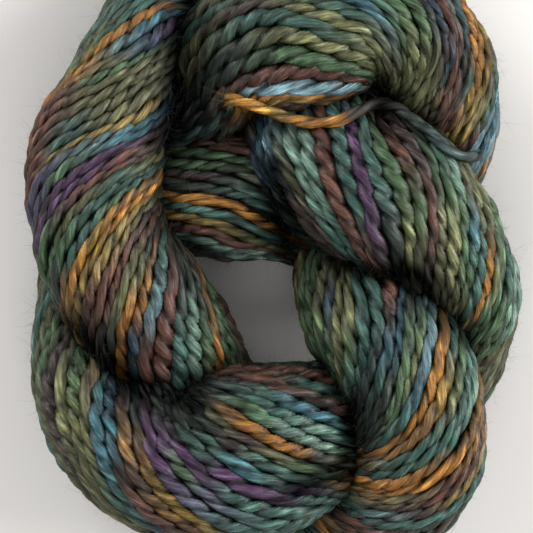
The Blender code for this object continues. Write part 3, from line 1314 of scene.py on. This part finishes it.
@dataclass
class DarkCore:
    """The inner threads, which show only as darkness between the outer ones: their near-black finish is
    painted shade.
    """

    route: Route
    name: str
    depth: float = 1.15
    sides: int = 24
    section_step: int = 8  # every eighth row of the route is enough here

    def ring(self, shape: bmesh.types.BMesh, row: int) -> set[bmesh.types.BMEdge]:
        """Adds one section of the core.

        Args:
            shape: The mesh that it is added to.
            row: The row of the route.

        Returns:
            The section's edges.
        """
        ring = bmesh.ops.create_circle(shape, segments=self.sides, radius=1.0)["verts"]
        wide = self.route.across[row] * (self.route.half_width[row] - self.depth)
        tall = self.route.upward[row] * (BUNDLE_HALF_HEIGHT - self.depth)
        for vertex in ring:
            place = self.route.middle[row] + vertex.co.x * wide + vertex.co.y * tall
            place[2] = max(place[2], self.depth)
            vertex.co = place * MM
        return {edge for vertex in ring for edge in vertex.link_edges}

    def build(self, material: bpy.types.Material) -> bpy.types.Object:
        """Makes the core as rings joined one to the next.

        Args:
            material: Its finish.

        Returns:
            The piece.
        """
        mesh = bpy.data.meshes.new(self.name)
        with edited(mesh) as shape:
            rings = [self.ring(shape, row) for row in range(0, len(self.route.middle), self.section_step)]
            pairs = list(zip(rings, rings[1:]))
            if self.route.closed:
                pairs.append((rings[-1], rings[0]))
            for here, there in pairs:
                bmesh.ops.bridge_loops(shape, edges=list(here | there))
            if not self.route.closed:
                bmesh.ops.holes_fill(shape, edges=shape.edges[:], sides=self.sides)
            bmesh.ops.recalc_face_normals(shape, faces=shape.faces[:])
        mesh.shade_smooth()
        piece = placed(self.name, mesh)
        dress(piece, material, "skein")
        return piece


@dataclass
class LooseFibres:
    """The fine fibre ends that stand off the threads and soften the hank's edge."""

    count: int = 8000  # in each piece
    pieces: int = 2
    shortest: float = 0.5
    longest: float = 2.0
    thickness: float = 0.011
    least_open: float = 0.10  # fibres deeper between the folds than this are left out
    spread: float = 0.5  # how far round the thread from its outer side they stand
    least_outward: float = 0.2  # those that lean further into the bundle are left out
    root: float = 0.9  # where they start, as a share of the thread's radius
    lift: float = 0.38  # how steeply they leave the thread
    lifts: tuple[float, float] = (0.2, 1.8)  # the least and the most, as shares of that
    sway: float = 0.35  # how far they turn aside where they start
    curl: float = 0.55
    stretches: tuple[float, float] = (0.4, 1.0)  # how much of its length a curled fibre reaches
    tries: int = 4  # places tried for each fibre
    haze: str = "#57513c"  # what the fibres' own colour is mixed with
    haze_share: float = 0.5
    node: str = "skein"
    slot: str = "dyed_thread"
    # shares of its length, and how thick it is there
    shape: tuple[tuple[float, float], ...] = ((0.0, 0.0), (0.2, 1.0), (0.45, 1.0), (0.75, 0.7), (1.0, 0.0))
    sides: int = 3

    def path(self, line: ThreadLine, at: int, rng: np.random.Generator) -> np.ndarray | None:
        """Bends one fibre.

        Args:
            line: The thread that it stands on.
            at: Which of the line's points it starts from.
            rng: The source of chance.

        Returns:
            Its points, or nothing if it would run into the bundle.
        """
        size = rng.uniform(self.shortest, self.longest) * rng.uniform(*self.stretches)
        spin, bend, late_bend = rng.normal(size=(3, 3))
        out = unit(line.outward[at] + self.spread * spin)
        if line.open_share[at] < self.least_open or out @ line.outward[at] < self.least_outward:
            return None
        along = np.array([share for share, _ in self.shape])
        forward = unit(line.points[at + 1] - line.points[at - 1]) * rng.choice((-1.0, 1.0))
        way = unit(forward + self.lift * rng.uniform(*self.lifts) * out + self.sway * bend)
        curls = np.outer(along**2, bend) + np.outer(along**3, late_bend)
        offsets = np.outer(along, way) + self.curl * curls
        path = line.points[at] + out * line.radius[at] * self.root + size * offsets
        path[:, 2] = np.maximum(path[:, 2], self.thickness)
        return path

    def build(self, name: str, seed: int, lines: Sequence[ThreadLine], material: bpy.types.Material) -> None:
        """Makes one piece of fibres.

        Args:
            name: The piece's name.
            seed: The start of the source of chance.
            lines: The threads that they stand on.
            material: Their finish.
        """
        rng = np.random.default_rng(seed)
        turns = -2 * math.pi * np.arange(self.sides) / self.sides
        section = flat_section("fibre_section", [(turn, self.thickness) for turn in turns])
        curve = tube_curve(name, section)
        weights = np.array([lengths_along(line.points)[-1] for line in lines])
        chosen = rng.choice(len(lines), size=self.tries * self.count, p=weights / weights.sum())
        haze = np.array(linear(self.haze))
        colours = []
        for number in chosen:
            line = lines[number]
            at = rng.integers(1, len(line.points) - 1)
            path = self.path(line, at, rng)
            if path is None or len(colours) == self.count:
                continue
            add_line(curve, path, [size for _, size in self.shape])
            # the thread's painted shade carries over to the fibre and to the haze mixed into it
            colours.append(line.dye[at] + self.haze_share * (haze * line.light[at] - line.dye[at]))
        piece = curve_to_piece(name, curve)
        bpy.data.objects.remove(section)
        dye = np.repeat(np.array(colours), self.sides * len(self.shape), axis=0)
        set_attribute(piece, "dye", "FLOAT_COLOR", "color", with_alpha(dye))
        with edited(piece.data) as shape:
            # each fibre narrows to a point at both ends, where its corners are joined
            bmesh.ops.remove_doubles(shape, verts=shape.verts[:], dist=WELD * MM)
        dress(piece, material, self.node)

    def build_all(self, lines: Sequence[ThreadLine], material: bpy.types.Material) -> None:
        """Makes all the fibres, in a few pieces."""
        for number in range(1, self.pieces + 1):
            self.build(f"loose_fibres_{number}", SEED + number, lines, material)


@dataclass
class LooseTie:
    """The loose thread in the crease below the upper right fold, from its cut end.

    Its far end goes in between the right fold and the upper right one, so only the cut end is frayed.
    """

    radius: float = 0.62
    frayed_rows: int = 7
    path_step: int = 4  # every fourth row of the tie's route
    # the dyes at shares of its length: orange along the crease, then dark, which is partly dye and partly
    # painted shade where it goes in between the folds
    dyes: tuple[tuple[float, Dye], ...] = (
        (0.0, Dye.OCHRE),
        (0.05, Dye.ORANGE),
        (0.19, Dye.OCHRE),
        (0.265, Dye.ORANGE),
        (0.39, Dye.ORANGE),
        (0.425, Dye.BROWN_GREY),
        (0.65, Dye.DARK_GREEN),
        (0.88, Dye.GREY_TEAL),
        (1.0, Dye.DARK_GREEN),
    )

    def build(self, mesher: PlyMesher, shelter: Shelter, material: bpy.types.Material) -> ThreadLine:
        """Args:
            mesher: What gives the thread its plies.
            shelter: What paints the creases' shade and light on it.
            material: Its finish.

        Returns:
            The frayed part of it, at its cut end.
        """
        rows, length = even_rows(TIE_ROUTE, ROUTE_STEP, closed=False)
        share = np.linspace(0.0, 1.0, len(rows))
        marks = [mark for mark, _ in self.dyes]
        colours = np.array([linear(dye.hex_value) for _, dye in self.dyes])
        dye = read_off(share, marks, colours)
        up = np.tile([0.0, 0.0, 1.0], (len(rows), 1))
        line = ThreadLine(rows, np.full(len(rows), self.radius), dye, up, False)
        # painted shade and painted light of the charted creases go into the dye
        line.light = shelter.crease_light(rows)
        line.dye = dye * line.light[:, None]
        piece = mesher.build("loose_tie", [line])
        with edited(piece.data) as shape:
            bmesh.ops.holes_fill(shape, edges=[edge for edge in shape.edges if edge.is_boundary])
        dress(piece, material, "tie")
        LOG.info("loose_tie: %.1f mm long", length)
        frayed = slice(0, self.frayed_rows)
        return ThreadLine(
            rows[frayed, :3],
            line.radius[frayed],
            line.dye[frayed],
            up[frayed],
            False,
            open_share=np.ones(self.frayed_rows),
            light=line.light[frayed],
        )


class SoftLight(NamedTuple):
    """A square soft light: its name, where it hangs, in metres, and its power in watts."""

    name: str
    place: tuple[float, float, float]
    watts: float


@dataclass
class Studio:
    """A pale floor, soft light and a camera straight above."""

    lens: float = 600.0  # long, so that the view is almost without perspective
    sensor: float = 36.0
    shown_width: float = 62.9  # what the picture's width covers at the measured height
    measured_height: float = 10.0
    centre: tuple[float, float] = (-0.83, -1.24)
    floor_half_side: float = 1500.0
    light_side: float = 0.5  # in metres
    room_light: float = 0.50
    lights: tuple[SoftLight, ...] = (
        SoftLight("window", (-0.55, 0.55, 0.45), 6.5),
        SoftLight("window_right", (0.75, 0.10, 0.40), 9.6),
        SoftLight("lamp", (0.0, -0.6, 0.7), 2.0),
    )

    def build_camera(self) -> None:
        """Hangs the camera over the hank."""
        data = bpy.data.cameras.new("camera")
        data.lens = self.lens
        data.sensor_width = self.sensor
        camera = placed("camera", data)
        height = self.shown_width * self.lens / self.sensor + self.measured_height
        camera.location = Vector((*self.centre, height)) * MM
        bpy.context.scene.camera = camera

    def build_floor(self, material: bpy.types.Material) -> None:
        """Lays the floor."""
        mesh = bpy.data.meshes.new("floor")
        with edited(mesh) as shape:
            bmesh.ops.create_grid(shape, x_segments=1, y_segments=1, size=self.floor_half_side * MM)
        mesh.materials.append(material)
        floor = placed("floor", mesh)

    def build_lights(self) -> None:
        """Hangs the lights so that they look at the hank, in a pale room."""
        for light in self.lights:
            data = bpy.data.lights.new(light.name, "AREA")
            data.size = self.light_side
            data.energy = light.watts
            hung = placed(light.name, data)
            hung.location = light.place
            hung.rotation_euler = (-Vector(light.place)).to_track_quat("-Z", "Y").to_euler()
        world = bpy.data.worlds.new("soft_room")
        world.use_nodes = True
        background = world.node_tree.nodes["Background"]
        background.inputs["Color"].default_value = (1.0, 1.0, 1.0, 1.0)
        background.inputs["Strength"].default_value = self.room_light
        bpy.context.scene.world = world


def main() -> None:
    """Builds and dresses the hank, and sets it up for its picture."""
    logging.basicConfig(level=logging.INFO, format="%(message)s")
    studio = Studio()
    studio.build_camera()
    thread = LustrousThread().material()
    # the inner threads' near-black colours are painted shade
    inner = MottledFinish("shaded_silk_threads", "#101310", "#1d221c", THREAD_WIDTH).material()
    mesher = PlyMesher()
    shelter = Shelter()
    frayed = LooseTie().build(mesher, shelter, thread)
    wound = Route(ROUTE, closed=True)
    low = Route(BRANCH, closed=False)
    lines = WoundBundle(wound).build(mesher, shelter, thread)
    lines += LowBranch(low).build(mesher, shelter, thread)
    single = LooseFibreFinish().material()
    LooseFibres().build_all(lines, single)
    fray = LooseFibres(count=90, shortest=0.8, longest=2.2, haze_share=0.0, node="tie", slot="tie_thread")
    fray.build("tie_fray", SEED, [frayed], single)
    DarkCore(wound, "inner_threads").build(inner)
    DarkCore(low, "inner_branch_threads").build(inner)
    DarkCore(Route(NECK, closed=False), "inner_neck_threads").build(inner)
    paper = MottledFinish("matt_paper_floor", "#d3d0cd", "#d6d3d0", spot_size=40.0).material()
    studio.build_floor(paper)
    studio.build_lights()
    bpy.context.scene.view_settings.view_transform = "Standard"


if __name__ == "__main__":
    main()
